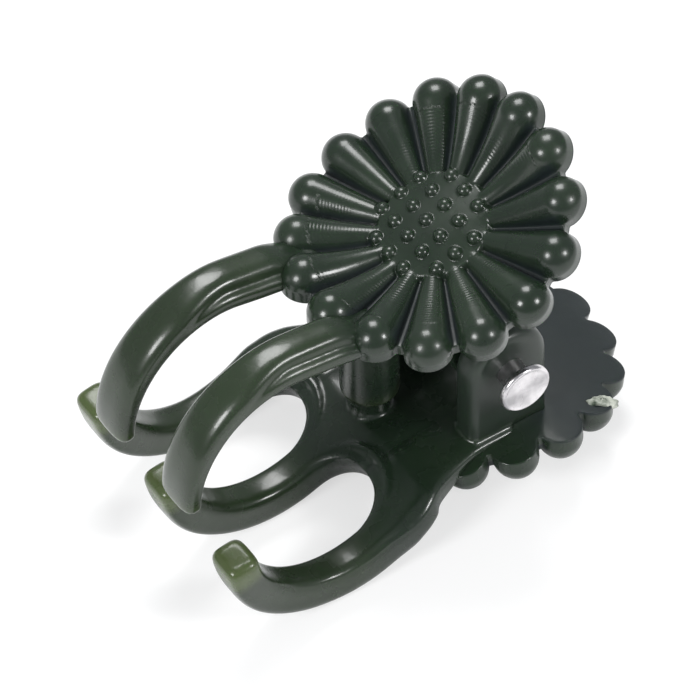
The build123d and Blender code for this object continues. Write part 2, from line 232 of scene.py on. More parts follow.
def seed_height(x, y):
    """Height of the disc and its seeds. The dome is a ball of radius R = (d^2 + rise^2) / (2 rise), whose
    height is top - R + sqrt(R^2 - r^2). A seed adds sqrt(s^2 - distance^2) to its foot on the dome."""
    radius = np.hypot(x, y)
    rise = disc_top_height - disc_edge_height
    ball = (disc_radius**2 + rise**2) / (2 * rise)
    dome = disc_top_height - ball + np.sqrt(ball**2 - np.minimum(radius, disc_radius) ** 2)
    wall = np.maximum(radius - disc_radius, 0) * disc_wall_slope
    column, row = np.meshgrid(seed_lines, seed_lines)
    keep = np.abs(column) + np.abs(row) < seed_corner
    column = column[keep] * seed_pitch + seed_shift[0]
    row = row[keep] * seed_pitch + seed_shift[1]
    from_centre = np.hypot(column, row)
    foot = disc_top_height - ball + np.sqrt(ball**2 - np.minimum(from_centre, disc_radius) ** 2)
    foot = foot - seed_sink
    far = (x[..., None] - column) ** 2 + (y[..., None] - row) ** 2
    inside = np.maximum(seed_radius**2 - far, 0)
    seeds = np.where(inside > 0, foot + np.sqrt(inside), below_all).max(axis=-1)
    return soft_max(dome - wall, seeds, seed_softness)


print("dome rises", disc_top_height - disc_edge_height, "mm and carries seeds every", seed_pitch, "mm")


# %% [markdown]
# A height alone would give a sheet with no edge. The sheet has to end where the height falls to nothing,
# and that rim is scalloped, so it differs in every direction. It could be worked out petal by petal, but
# halving an interval forty times finds it for all directions at once.

# %% Flower rim and top
turn_count = 576
rim_search_low = 6.0
rim_search_past = 0.6
inner_rings = 66
outer_rings = 46
first_ring_share = 0.012
inner_radius = 4.7
disc_blend_start = 5.6
disc_blend_end = 4.6
disc_softness = 0.1


def rim_radius(turn, flower_radius, ball_radius, floor_reach):
    """Radius at which the squared height reaches 0, found for every direction by halving."""
    low = np.full(turn.shape, rim_search_low)
    high = np.full(turn.shape, flower_radius + rim_search_past)
    for halving in range(40):
        middle = (low + high) / 2
        solid = squared_height(middle, turn, ball_radius, flower_radius - ball_radius, floor_reach) > 0
        low = np.where(solid, middle, low)
        high = np.where(solid, high, middle)
    return low


def top_rings(turn, rim, flower_radius, ball_radius, floor_reach):
    """Radius and height of the rings from the middle to the rim. The inner ones are evenly spaced, and
    the outer ones follow sin t, so that they crowd where the end balls turn steep."""
    inner_share = np.linspace(first_ring_share, 1, inner_rings)[:, None]
    outer_share = np.sin(np.linspace(0, math.pi / 2, outer_rings)[1:])[:, None]
    inner = inner_share * inner_radius * np.ones_like(rim)
    outer = inner_radius + (rim - inner_radius) * outer_share
    radius = np.concatenate([inner, outer])
    angle = np.radians(turn) * np.ones_like(radius)
    squared = squared_height(radius, turn, ball_radius, flower_radius - ball_radius, floor_reach)
    height = np.sqrt(np.maximum(squared, 0))
    share = ease(radius, disc_blend_start, disc_blend_end)
    seeds = seed_height(radius * np.cos(angle), radius * np.sin(angle))
    blended = soft_max(height, seeds * share + (share - 1), disc_softness)
    return radius, np.where(radius < disc_blend_start, blended, height)


print("points round a flower", turn_count)


# %% [markdown]
# Below the rim the real plate has a short wall with a little draft, so that it leaves the mould, and a
# flat back. The whole plate is also bent: its front and rear ends turn outward, which gives the thumb a
# hollow to rest in. A bend modifier could do that, but rolling the points round a long cylinder is one
# line of arithmetic, and it keeps the thickness.

# %% Flower skirt, back and bend
skirt_depth = 0.95
skirt_draft = 0.16
skirt_round = 0.12
skirt_rings = 7
corner_rings = 5
back_rings = 24
last_ring_share = 0.02


def flower_grid(flower_radius, ball_radius, floor_reach, bend_radius, stretch):
    """Closed flower as rings of points: out over the top, down the skirt and back along the flat. Each
    point is then rolled round the bend: x to (R - z) sin(s x / R), z to R - (R - z) cos(s x / R)."""
    turn = np.arange(turn_count) * 360.0 / turn_count
    rim = rim_radius(turn, flower_radius, ball_radius, floor_reach)
    radius, height = top_rings(turn, rim, flower_radius, ball_radius, floor_reach)
    down = np.linspace(0, 1, skirt_rings)[1:, None]
    corner = np.radians(np.linspace(0, 90, corner_rings)[1:])[:, None]
    corner_depth = skirt_depth - skirt_round * (1 - np.sin(corner))
    corner_inset = skirt_draft + skirt_round * (1 - np.cos(corner))
    depth = np.concatenate([(skirt_depth - skirt_round) * down, corner_depth]) * np.ones_like(rim)
    skirt_radius = rim - np.concatenate([skirt_draft * down, corner_inset])
    back_radius = skirt_radius[-1] * np.linspace(1, last_ring_share, back_rings)[1:, None]
    all_radius = np.concatenate([radius, skirt_radius, back_radius])
    all_height = np.concatenate([height, -depth, np.full(back_radius.shape, -skirt_depth)])
    angle = np.radians(turn) * np.ones_like(all_radius)
    x = all_radius * np.cos(angle)
    y = all_radius * np.sin(angle)
    arc = x * stretch
    rolled_x = (bend_radius - all_height) * np.sin(arc / bend_radius)
    rolled_z = bend_radius - (bend_radius - all_height) * np.cos(arc / bend_radius)
    return np.stack([rolled_x, y, rolled_z], axis=-1)


print("skirt", skirt_depth, "mm deep")


# %% [markdown]
# Each plate has its own place on the side view: a slope, a distance of its middle from the hinge axis,
# and a shift to the rear. The flower could be drawn twice, but the lower one is the same surface turned
# over, so one helper with a side of 1 or -1 places both. The sizes below were measured in the photograph
# with a fitted camera.

# %% Plate places
upper_slope = 19.9
upper_distance = 8.35
upper_rearward = 2.0
upper_flower_aside = -0.03
upper_bend = 19.5
lower_slope = -1.9
lower_distance = 7.1
lower_rearward = 1.65
lower_bend = 21.5


def plate_axes(slope, side):
    """Unit directions (rearward, outward) of a plate in the side view. side is 1 above and -1 below."""
    turn = math.radians(slope)
    rear = np.array([math.cos(turn), math.sin(turn)])
    out = side * np.array([-math.sin(turn), math.cos(turn)])
    return rear, out


def place_on_plate(grid, slope, side, distance, rearward):
    """Carries a grid from the plate's axes to the side view: out (distance + z) + rear (shift + x)."""
    rear, out = plate_axes(slope, side)
    along = rearward + grid[..., 0]
    away = distance + grid[..., 2]
    x = along * rear[0] + away * out[0]
    z = along * rear[1] + away * out[1]
    return np.stack([x, grid[..., 1], z], axis=-1)


print("upper plate slopes", upper_slope, "degrees, lower plate", lower_slope)


# %% [markdown]
# Now both flowers are made. Each could be built from one petal with an array modifier, but the seed disc
# and the bend don't repeat, so each flower is one grid. They differ a little in radius, in the reach of
# the groove floor and in how far the plate is stretched along its bend.

# %% Flowers
petal_ball_radius = 1.66
upper_flower_radius = 11.12
upper_floor_reach = 9.65
upper_stretch = 1.035
lower_flower_radius = 10.8
lower_floor_reach = 9.3
lower_stretch = 0.99

upper_flat = flower_grid(upper_flower_radius, petal_ball_radius, upper_floor_reach, upper_bend, upper_stretch)
upper_flower_grid = place_on_plate(upper_flat, upper_slope, 1, upper_distance, upper_rearward)
upper_flower_grid[..., 1] += upper_flower_aside
lower_flat = flower_grid(lower_flower_radius, petal_ball_radius, lower_floor_reach, lower_bend, lower_stretch)
lower_flower_grid = place_on_plate(lower_flat, lower_slope, -1, lower_distance, lower_rearward)
upper_flower = mesh_from("upper_flower", [closed_grid(upper_flower_grid)])
lower_flower = mesh_from("lower_flower", [closed_grid(lower_flower_grid)])


# %% [markdown]
# The prongs are bars that curl round a ring and thin toward their ends. They could be drawn as a curve
# object with a bevel, but its section can't change its width on one side only. So a bar is a rounded
# rectangle carried along a line of the side view, with its two sides given apart. The same rule makes
# an even prong, the stepped root of an upper prong and the palm, whose three strips widen until they
# meet.

# %% Bars along a side-view line
cap_rings = 5


def directions(line):
    """Unit direction of a side-view line at each point, and its normal, a quarter turn to the left."""
    ahead = np.gradient(line, axis=0)
    ahead /= np.linalg.norm(ahead, axis=1)[:, None]
    return ahead, np.stack([-ahead[:, 1], ahead[:, 0]], axis=-1)


def rounded_section(count, corner):
    """Points of a rounded rectangle as (across, up) shares from -1 to 1: the superellipse
    |u|^n + |v|^n = 1, whose corners sharpen as the power n grows."""
    turn = np.arange(count) * 2 * math.pi / count
    u = np.sign(np.cos(turn)) * np.abs(np.cos(turn)) ** (2 / corner)
    v = np.sign(np.sin(turn)) * np.abs(np.sin(turn)) ** (2 / corner)
    return u, v


def with_caps(values):
    """Repeats the first and the last row once for every ring of the rounded ends."""
    start = np.repeat(values[:1], cap_rings, 0)
    end = np.repeat(values[-1:], cap_rings, 0)
    return np.concatenate([start, values, end])


def carried_bar(line, low_side, high_side, thickness, corner, start_round=0.25, end_round=0.25, count=56):
    """Bar along a side-view line (n, 2). Its section is scaled to lie between the two sides across the
    clip and to the thickness along the line's normal. Each end is rounded by rings that shrink by
    r (1 - sin t) while they run out by r cos t."""
    ahead, normal = directions(line)
    low_side = np.broadcast_to(low_side, len(line)).astype(float)
    high_side = np.broadcast_to(high_side, len(line)).astype(float)
    thickness = np.broadcast_to(thickness, len(line)).astype(float)
    turns = np.radians(np.linspace(0, 90, cap_rings + 1))[:-1]
    slip = np.cos(turns)
    shrink = 1 - np.sin(turns)
    first = line[0] - ahead[0] * (start_round * slip)[:, None]
    last = (line[-1] + ahead[-1] * (end_round * slip)[:, None])[::-1]
    line = np.concatenate([first, line, last])
    normal = with_caps(normal)
    inset = np.concatenate([shrink * start_round, np.zeros(len(thickness)), shrink[::-1] * end_round])
    low_side = with_caps(low_side) + inset
    high_side = with_caps(high_side) - inset
    thickness = with_caps(thickness) - 2 * inset
    u, v = rounded_section(count, corner)
    middle = (low_side + high_side) / 2
    half = (high_side - low_side) / 2
    y = middle[:, None] + half[:, None] * u
    off = thickness[:, None] / 2 * v
    x = line[:, :1] + normal[:, :1] * off
    z = line[:, 1:] + normal[:, 1:] * off
    return closed_grid(np.stack([x, y, z], axis=-1))


def ring_line(centre, radius_x, radius_z, start, end, count):
    """Arc of an ellipse in the side view, from one angle to another in degrees."""
    turn = np.radians(np.linspace(start, end, count))
    return np.stack([centre[0] + radius_x * np.cos(turn), centre[1] + radius_z * np.sin(turn)], axis=-1)


print("rings in each rounded end", cap_rings)


# %% [markdown]
# Four ears carry the pin, two on each thumb plate. They are flat, with a round end about the pin and
# softened edges. A plain box with a bevel modifier would miss the round end, so an outline is carried
# across the clip and drawn in a little near each face.

# %% Ear helpers
ear_points = 160


def thick_outline(outline, y_from, y_to, edge_round):
    """Outline (n, 2) of the side view carried from y_from to y_to. Near each face it is drawn in by
    r (1 - cos t) while y runs r sin t, which rounds the edge."""
    ahead = np.roll(outline, -1, axis=0) - np.roll(outline, 1, axis=0)
    ahead /= np.linalg.norm(ahead, axis=1)[:, None]
    area = np.sum(outline[:, 0] * np.roll(outline[:, 1], -1) - np.roll(outline[:, 0], -1) * outline[:, 1])
    inward = np.stack([-ahead[:, 1], ahead[:, 0]], axis=-1) * np.sign(area)
    turn = np.radians(np.linspace(90, 0, 6))
    inset = edge_round * (1 - np.cos(turn))
    step = edge_round * (1 - np.sin(turn))
    y = np.concatenate([y_from + step, (y_to - step)[::-1]])
    inset = np.concatenate([inset, inset[::-1]])
    ring = outline[None] + inward[None] * inset[:, None, None]
    across = np.repeat(y[:, None], len(outline), axis=1)
    return closed_grid(np.stack([ring[..., 0], across, ring[..., 1]], axis=-1))


def even_outline(corners, count):
    """Closed line through the corners, resampled at even steps."""
    closed = np.concatenate([corners, corners[:1]])
    length = path_length(closed)
    at = np.arange(count) * length[-1] / count
    return np.stack([np.interp(at, length, closed[:, 0]), np.interp(at, length, closed[:, 1])], axis=-1)


def ear_outline(rear, out, radius, reach, web=0.0, drop=0.0):
    """Half circle of the given radius about the hinge axis, then straight sides to the plate. Where a
    web is given, the outline runs out in front at the plate to that distance from the axis."""
    turn = np.radians(np.linspace(0, 180, 41))[:, None]
    cap = rear * radius * np.cos(turn) - out * radius * np.sin(turn)
    if web > 0:
        corners = [
            -rear * radius + out * (reach - drop),
            -rear * web + out * reach,
            rear * radius + out * reach,
        ]
    else:
        corners = [-rear * radius + out * reach, rear * radius + out * reach]
    return even_outline(np.concatenate([cap, np.array(corners)]), ear_points)


def ear_pair(outline, inner, outer, edge_round):
    """The same ear on both sides of the clip, from the inner to the outer distance across it."""
    near = thick_outline(outline, -outer, -inner, edge_round)
    far = thick_outline(outline, inner, outer, edge_round)
    return [near, far]


print("points round an ear", ear_points)


# %% [markdown]
# Between the jaws stand two stop posts, one on each, which meet when nothing is in the grip. A cylinder
# primitive would do for the shaft, but the photograph shows a rolled rim and a slight draft. A profile
# turned about the post's own axis gives both.

# %% Post helper
def turned_post(foot, way, profile, count=48):
    """Profile (height h, radius r) turned about an axis: foot + way h + side r cos t, and y = r sin t."""
    turn = np.arange(count) * 2 * math.pi / count
    profile = np.array(profile, float)
    side = np.array([way[1], -way[0]])
    along = profile[:, :1]
    across = profile[:, 1:] * np.cos(turn)
    x = foot[0] + way[0] * along + side[0] * across
    z = foot[1] + way[1] * along + side[1] * across
    y = profile[:, 1:] * np.sin(turn)
    return closed_grid(np.stack([x, y, z], axis=-1))


post_forward = 6.85
print("posts stand", post_forward, "mm in front of the hinge axis")


# %% [markdown]
# A moulding has no sharp inside corners: the plastic flows in small fillets from one form to the next.
# Each fillet could be modelled, but there are dozens. The bars, ears and posts of a jaw are therefore
# merged by a voxel remesh and eased by a smoothing pass, which rounds every meeting line by a tenth of a
# millimetre or two.

# %% Merge helper
smooth_factor = 0.5
smooth_passes = 6


def moulded(name, parts, voxel_mm):
    """Joins overlapping closed parts into one skin: voxel remesh, then smoothing, both applied. A
    smoothing pass moves each point by the factor toward the mean of its neighbours."""
    rough = mesh_from(name + "_rough", parts)
    remesh = rough.modifiers.new("skin", "REMESH")
    remesh.mode = "VOXEL"
    remesh.voxel_size = voxel_mm / 1000
    remesh.use_smooth_shade = True
    easing = rough.modifiers.new("ease", "SMOOTH")
    easing.factor = smooth_factor
    easing.iterations = smooth_passes
    bpy.context.view_layer.update()
    graph = bpy.context.evaluated_depsgraph_get()
    mesh = bpy.data.meshes.new_from_object(rough.evaluated_get(graph))
    bpy.data.objects.remove(rough)
    mesh.name = name
    piece = bpy.data.objects.new(name, mesh)
    bpy.context.scene.collection.objects.link(piece)
    mesh.polygons.foreach_set("use_smooth", np.full(len(mesh.polygons), True))
    print(name, "points", len(mesh.vertices), "faces", len(mesh.polygons))
    return piece


# %% [markdown]
# The upper jaw carries two prongs. Each leaves the plate straight and then curls down round the grip,
# thinner toward its tip and where it dives under the flower. Its middle line could be drawn by eye as a
# curve object. An arc of an ellipse with a straight lead in front of it gives the same line from a few
# measured sizes, and how far a point has travelled along it says how thick the prong is there.

# %% Upper prong line
upper_rear, upper_out = plate_axes(upper_slope, 1)
lower_rear, lower_out = plate_axes(lower_slope, -1)
upper_ring = np.array([-16.6, 0.16])
upper_ring_reach = 8.2
upper_ring_rise = 8.6
upper_root_turn = 80.9
upper_tip_turn = 177.2
upper_lead = 6.8
upper_root_thick = 2.66
tip_loss = 1.15
flower_loss = 1.0
flower_cover = (0.6, 4.0)

curl = ring_line(upper_ring, upper_ring_reach, upper_ring_rise, upper_root_turn, upper_tip_turn, 150)
root_way = curl[0] - curl[1]
root_way /= np.linalg.norm(root_way)
lead = curl[0] + root_way * np.linspace(upper_lead, 0, 40, endpoint=False)[:, None]
upper_line = np.concatenate([lead, curl])
upper_travel = path_length(upper_line)
upper_length = upper_travel[-1]
tip_share = ease(upper_travel, 4.0, upper_length)
under_flower = 1 - ease(upper_travel, flower_cover[0], flower_cover[1])
upper_thick = upper_root_thick - tip_loss * tip_share - flower_loss * under_flower
upper_normal = directions(upper_line)[1]
upper_line = upper_line + upper_normal * (flower_loss * under_flower / 2)[:, None]
print("upper prong length", upper_length)


# %% [markdown]
# Near the flower each prong has a step along its near side: the top face is narrower there than the
# bar below it, and the two become one after some 12 mm. A step could be cut out of a bar, but adding is
# easier than cutting. So a tall narrow bar and a flat ledge of the full width are carried along the
# same line. The far prong of the real clip stands a little wider and further out.

# %% Upper prongs
upper_prong_half_space = 3.835
upper_half_width = 1.7 + 0.16 * ease(upper_travel, 8.0, upper_length)
step_inset = 0.62 * (1 - ease(upper_travel, 7.5, 12.0))
ledge_sink = 0.17
ledge_thick_share = 0.66
ledge_far_inset = 0.3
bar_power = 2.8
ledge_power = 2.6
spread_start = 3.0
spread_end = 9.0
near_prong = (-1, 0.0, 0.0)
far_prong = (1, 0.24, 0.27)

upper_parts = []
for side, aside, outward in (near_prong, far_prong):
    middle = side * (upper_prong_half_space + aside)
    spread = outward * ease(upper_travel, spread_start, spread_end)
    bar_line = upper_line - upper_normal * spread[:, None]
    near = middle - upper_half_width
    far = middle + upper_half_width
    ledge_line = bar_line + upper_normal * (upper_thick * ledge_sink)[:, None]
    bar = carried_bar(bar_line, near + step_inset, far, upper_thick, bar_power, end_round=0.45)
    ledge_thick = upper_thick * ledge_thick_share
    ledge = carried_bar(ledge_line, near, far - ledge_far_inset, ledge_thick, ledge_power, end_round=0.3)
    upper_parts += [bar, ledge]
print("upper prongs are", 2 * upper_half_width.min(), "to", 2 * upper_half_width.max(), "mm wide")


# %% [markdown]
# Two inner ears reach down from the upper plate to the pin, each with a web in front that stiffens it,
# and the upper stop post comes down between the jaws with a rolled rim at its end. With the prongs they
# become one skin, because the real jaw is one moulding.

# %% Upper jaw body
upper_ear_inner = 2.7125
upper_ear_outer = 4.7125
upper_ear_radius = 2.9
upper_ear_reach = 8.3
upper_web = 6.2
upper_web_drop = 3.2
upper_ear_round = 0.3
upper_post = [(1.8, 1.0), (1.8, 1.8), (1.86, 1.98), (2.06, 2.1), (8.0, 2.12), (11.6, 2.16), (12.75, 2.3)]
upper_voxel = 0.13

upper_ear = ear_outline(upper_rear, upper_out, upper_ear_radius, upper_ear_reach, upper_web, upper_web_drop)
upper_parts += ear_pair(upper_ear, upper_ear_inner, upper_ear_outer, upper_ear_round)
post_way = -lower_out
post_foot = lower_out * (lower_distance - skirt_depth) - lower_rear * post_forward
upper_parts.append(turned_post(post_foot, post_way, upper_post))
upper_jaw_body = moulded("upper_jaw_body_piece", upper_parts, upper_voxel)


# %% [markdown]
# The lower jaw's three prongs grow out of one palm. From the side, prong and palm are one line: an arc
# round the grip, a straight climb and a level run under the plate. Three separate pieces would leave
# kinks where they meet. A single line, softened by a moving average where it bends, carries all of it.

# %% Lower jaw line
lower_ring = np.array([-15.7, -1.8])
lower_ring_reach = 7.98
lower_ring_drop = 8.02
lower_root_turn = 295.2
lower_tip_turn = 187.0
arc_points = 120
soften_reach = 7
softened_from = 100
kept_end = 8
palm_inset = 1.0
level_reach = 7.4
climb = np.radians(lower_root_turn - 270.0)

arc = ring_line(lower_ring, lower_ring_reach, lower_ring_drop, lower_tip_turn, lower_root_turn, arc_points)
climb_way = np.array([math.cos(climb), math.sin(climb)])
gap = lower_out * (lower_distance - skirt_depth + palm_inset) - arc[-1]
crossing = climb_way[0] * lower_rear[1] - climb_way[1] * lower_rear[0]
climb_length = (gap[0] * lower_rear[1] - gap[1] * lower_rear[0]) / crossing
bend_point = arc[-1] + climb_way * climb_length
climb_run = arc[-1] + climb_way * np.linspace(0, climb_length, 60)[1:, None]
level_run = bend_point + lower_rear * np.linspace(0, level_reach, 28)[1:, None]
lower_line = np.concatenate([arc, climb_run, level_run])
kernel = np.hanning(2 * soften_reach + 1)
kernel /= kernel.sum()
before = np.repeat(lower_line[:1], soften_reach, 0)
after = np.repeat(lower_line[-1:], soften_reach, 0)
padded = np.concatenate([before, lower_line, after])
softened = np.stack([np.convolve(padded[:, k], kernel, "valid") for k in (0, 1)], axis=-1)
lower_line = np.concatenate([
    lower_line[:softened_from], softened[softened_from:-kept_end], lower_line[-kept_end:]])
print("palm climbs for", climb_length)


# %% [markdown]
# A prong is a little thinner at its tip, and the palm thins again under the plate, where it runs into
# it. One even thickness would look like bent sheet. Each change is a smooth step over the distance
# travelled along the line.

# %% Lower jaw thickness
lower_tip_thick = 2.55
arc_gain = 0.3
palm_loss = 0.65
plate_loss = 1.1
plate_lift = 0.55

lower_travel = path_length(lower_line)
arc_length = lower_travel[arc_points - 1]
onto_palm = ease(lower_travel, arc_length + 1.5, arc_length + 6.5)
onto_plate = ease(lower_travel, lower_travel[-1] - 7.0, lower_travel[-1] - 2.5)
lower_thick = lower_tip_thick + arc_gain * ease(lower_travel, 0.5, 6.0) - palm_loss * onto_palm
lower_thick = lower_thick - plate_loss * onto_plate
lower_line = lower_line - lower_out * (plate_lift * onto_plate)[:, None]
print("lower jaw is", lower_thick.min(), "to", lower_thick.max(), "mm thick")


# %% [markdown]
# In plan the palm is a shield with two round-ended slots. The slots could be cut with a boolean, but
# each of the three strips can simply have the right sides: straight along a prong, widening by the
# slot's circle, and past the slot overlapping its neighbour. The shield's outer edge, with its shoulder
# and waist, was measured in the photograph and is given as a short table.

# %% Palm in plan
prong_pitch = 8.55
slot_half = 2.98
slot_middle_x = -12.85
strip_overlap = 0.5
outer_half_width = 1.28
edge_reach = 4
tip_swell = 0.26 * (1 - ease(lower_travel, 0.0, 7.0))
edge_x = [-17.0, -13.5, -12.0, -10.5, -9.75, -9.0, -8.25, -7.5, -6.5, -3.3]
edge_gain = [0.0, 0.16, 0.22, 0.42, 0.40, 0.28, 0.0, -0.5, -1.1, -2.1]

run_x = lower_line[:, 0] - slot_middle_x
into_slot = np.clip(run_x / slot_half, 0, 1)
slot_edge = slot_half * np.sqrt(np.maximum(1 - into_slot**2, 0))
slot_side = np.where(run_x > 0, slot_edge, slot_half)
overlap = np.where(run_x > slot_half, strip_overlap, 0)
inner_edge = prong_pitch / 2 - slot_side + overlap
outer_near = prong_pitch / 2 + slot_side - overlap
along_palm = ease(lower_travel, arc_length - 9.0, arc_length - 4.0)
shoulder = np.interp(lower_line[:, 0], edge_x, edge_gain) * along_palm
before = np.zeros(edge_reach)
after = np.full(edge_reach, shoulder[-1])
edge_count = 2 * edge_reach + 1
shoulder = np.convolve(np.concatenate([before, shoulder, after]), np.ones(edge_count) / edge_count, "valid")
outer_far = prong_pitch + outer_half_width + tip_swell + shoulder
print("palm reaches", outer_far.max(), "mm to each side")


# %% [markdown]
# The three strips are carried along the line, and two outer ears and the lower stop post stand on them.
# Straight prisms would do for the ears, but the photograph shows generous round edges on them. The post
# is slimmer than the one that it meets.

# %% Lower prongs, ears and post
strip_power = 4.2
tip_round = 0.62
lower_ear_inner = 4.9125
lower_ear_outer = 7.2125
lower_ear_radius = 3.2
lower_ear_reach = 6.6
lower_ear_round = 0.7
lower_post = [
    (-0.6, 1.7), (0.0, 1.62), (0.18, 1.5), (0.45, 1.43), (1.0, 1.4), (1.45, 1.38), (1.62, 1.3), (1.72, 1.1)]

middle_side = inner_edge + tip_swell
lower_parts = [carried_bar(
    lower_line, -inner_edge - tip_swell, middle_side, lower_thick, strip_power, start_round=tip_round)]
for side in (-1, 1):
    edges = np.stack([side * (outer_near - tip_swell), side * outer_far])
    lower_parts.append(carried_bar(
        lower_line, edges.min(0), edges.max(0), lower_thick, strip_power, start_round=tip_round))
lower_ear = ear_outline(lower_rear, lower_out, lower_ear_radius, lower_ear_reach)
lower_parts += ear_pair(lower_ear, lower_ear_inner, lower_ear_outer, lower_ear_round)
lower_parts.append(turned_post(post_foot, post_way, lower_post))
print("parts of the lower jaw", len(lower_parts))


# %% [markdown]
# The round end of each slot has a raised lip, where the mould's steel was rounded over. It could be a
# bevel with a bulging profile, but a bead laid along the edge gives the same form. Its radius swells
# from nothing to the middle and back, so that it fades into the palm at both ends.

# %% Raised slot rims
rim_half_turn = 78
rim_from_slot = 0.75
rim_sink = 0.24
rim_flatness = 0.9
rim_slope_share = 0.9
bead_radius = 0.42
bead_end = 0.12
bead_fullness = 0.4
lower_voxel = 0.14


def rim_tube(centre_y, count=40, around=16):
    """Round bead along the end of a slot: a circle of radius b sin(t)^0.4 carried along a part circle
    round the slot and laid on the palm's inner face, sunk by a part of its thickness."""
    turn = np.radians(np.linspace(-rim_half_turn, rim_half_turn, count))
    reach = slot_half + rim_from_slot
    x = slot_middle_x + reach * np.cos(turn)
    y = centre_y + reach * np.sin(turn)
    palm_x = lower_line[softened_from:, 0]
    rise = np.interp(x, palm_x, lower_line[softened_from:, 1])
    lift = np.interp(x, palm_x, lower_thick[softened_from:]) / 2 / math.cos(climb * rim_slope_share)
    bead = bead_radius * np.sin(np.linspace(bead_end, math.pi - bead_end, count)) ** bead_fullness
    around_turn = np.arange(around) * 2 * math.pi / around
    out = np.stack([np.cos(turn), np.sin(turn)], axis=-1)
    spread = bead[:, None] * np.cos(around_turn)
    px = x[:, None] + out[:, :1] * spread
    py = y[:, None] + out[:, 1:] * spread
    pz = (rise + lift - rim_sink)[:, None] + bead[:, None] * np.sin(around_turn) * rim_flatness
    return closed_grid(np.stack([px, py, pz], axis=-1))


for side in (-1, 1):
    lower_parts.append(rim_tube(side * prong_pitch / 2))
lower_jaw_body = moulded("lower_jaw_body_piece", lower_parts, lower_voxel)


# %% [markdown]
# The pin is a headed steel rivet. Its head stands off the near ear, so a short length of shaft shows.
# Cylinders could be stacked for it, but a profile turned about the axis gives the head a flat face with
# a thin rolled rim in one piece. The far end is spread a little, so that the pin can't fall out, and the
# head sits a little below the axis, as it does in the photograph.

# %% Hinge pin
head_inner = -lower_ear_outer - 1.5
head_outer = head_inner - 0.55
head_drop = 0.3
shaft_radius = 1.05
tail_end = lower_ear_outer + 0.7


def turned_along_y(profile, count=96):
    """Profile (y, r) turned about the hinge axis: x = r cos t and z = r sin t, less the head's drop, which
    sets in over the last millimetre of the shaft."""
    turn = np.arange(count) * 2 * math.pi / count
    profile = np.array(profile, float)
    x = profile[:, 1:] * np.cos(turn)
    y = np.repeat(profile[:, :1], count, axis=1)
    z = profile[:, 1:] * np.sin(turn) - head_drop * ease(y, head_inner + 1.0, head_inner)
    return closed_grid(np.stack([x, y, z], axis=-1))


head_profile = [
    (head_outer + 0.05, 0.3), (head_outer + 0.05, 1.55), (head_outer + 0.04, 1.66), (head_outer, 1.74),
    (head_outer, 1.8), (head_outer + 0.03, 1.87), (head_outer + 0.1, 1.93), (head_outer + 0.2, 1.95),
    (head_inner - 0.2, 1.95), (head_inner - 0.1, 1.92), (head_inner - 0.02, 1.84), (head_inner, 1.7),
    (head_inner, 1.2), (head_inner + 0.05, 1.08)]
shaft_profile = [
    (head_inner + 0.12, shaft_radius), (-2.0, shaft_radius),
    (2.0, shaft_radius), (tail_end - 0.7, shaft_radius)]
tail_profile = [
    (tail_end - 0.4, 1.13), (tail_end - 0.12, 1.3), (tail_end - 0.04, 1.3), (tail_end, 1.22), (tail_end, 0.3)]
pin_profile = head_profile + shaft_profile + tail_profile
hinge_pin = mesh_from("pin_piece", [turned_along_y(pin_profile)])


# %% [markdown]
# The spring is one length of round wire: a straight leg from the lower plate, a coil round the pin and
# a straight leg to the upper plate. Coil and legs could be separate pieces, but a tube carried along
# one line keeps the wire whole.

# %% Spring line
wire_radius = 0.4
coil_radius = 1.9
coil_pitch = 1.3
coil_half = coil_pitch * 13 / 8
lower_leg_turn = -40.0
coil_turns = 3.2222
leg_clearance = 0.15


def spring_line():
    """Centre line of the wire. The coil is radius * (cos a, sin a) with a falling evenly and y rising by
    the pitch each turn. The legs leave it along its tangents."""
    first = math.radians(lower_leg_turn - 90.0)
    share = np.linspace(0, 1, 240)
    turn = first - share * coil_turns * 2 * math.pi
    y = (share - 0.5) * coil_half * 2
    coil = np.stack([coil_radius * np.cos(turn), y, coil_radius * np.sin(turn)], axis=-1)
    leave = np.array([math.sin(turn[0]), 0, -math.cos(turn[0])])
    arrive = np.array([math.sin(turn[-1]), 0, -math.cos(turn[-1])])
    lower_reach = leg_reach(coil[0], -leave, lower_out, lower_distance)
    upper_reach = leg_reach(coil[-1], arrive, upper_out, upper_distance)
    lower_leg = coil[0] - leave * np.linspace(lower_reach, 0, 24, endpoint=False)[:, None]
    upper_leg = coil[-1] + arrive * np.linspace(0, upper_reach, 25)[1:, None]
    return np.concatenate([lower_leg, coil, upper_leg])


def leg_reach(start, way, out, distance):
    """Length of a leg that ends a little short of its plate's inner face: what is still missing along
    the plate's outward direction, divided by how fast the leg runs that way."""
    toward = way[0] * out[0] + way[2] * out[1]
    have = start[0] * out[0] + start[2] * out[1]
    return (distance - skirt_depth - wire_radius - leg_clearance - have) / toward


wire_line = spring_line()
print("spring wire length", path_length(wire_line)[-1])


# %% [markdown]
# The wire's section is a circle at every point of the line. Blender's curve bevel could carry it, but it
# may twist in the coil. Here each ring is set out from the hinge axis by two cross products, so it never
# twists, and its last rings are drawn in a little, as sheared wire ends are.

# %% Torsion spring
wire_end_share = 0.8


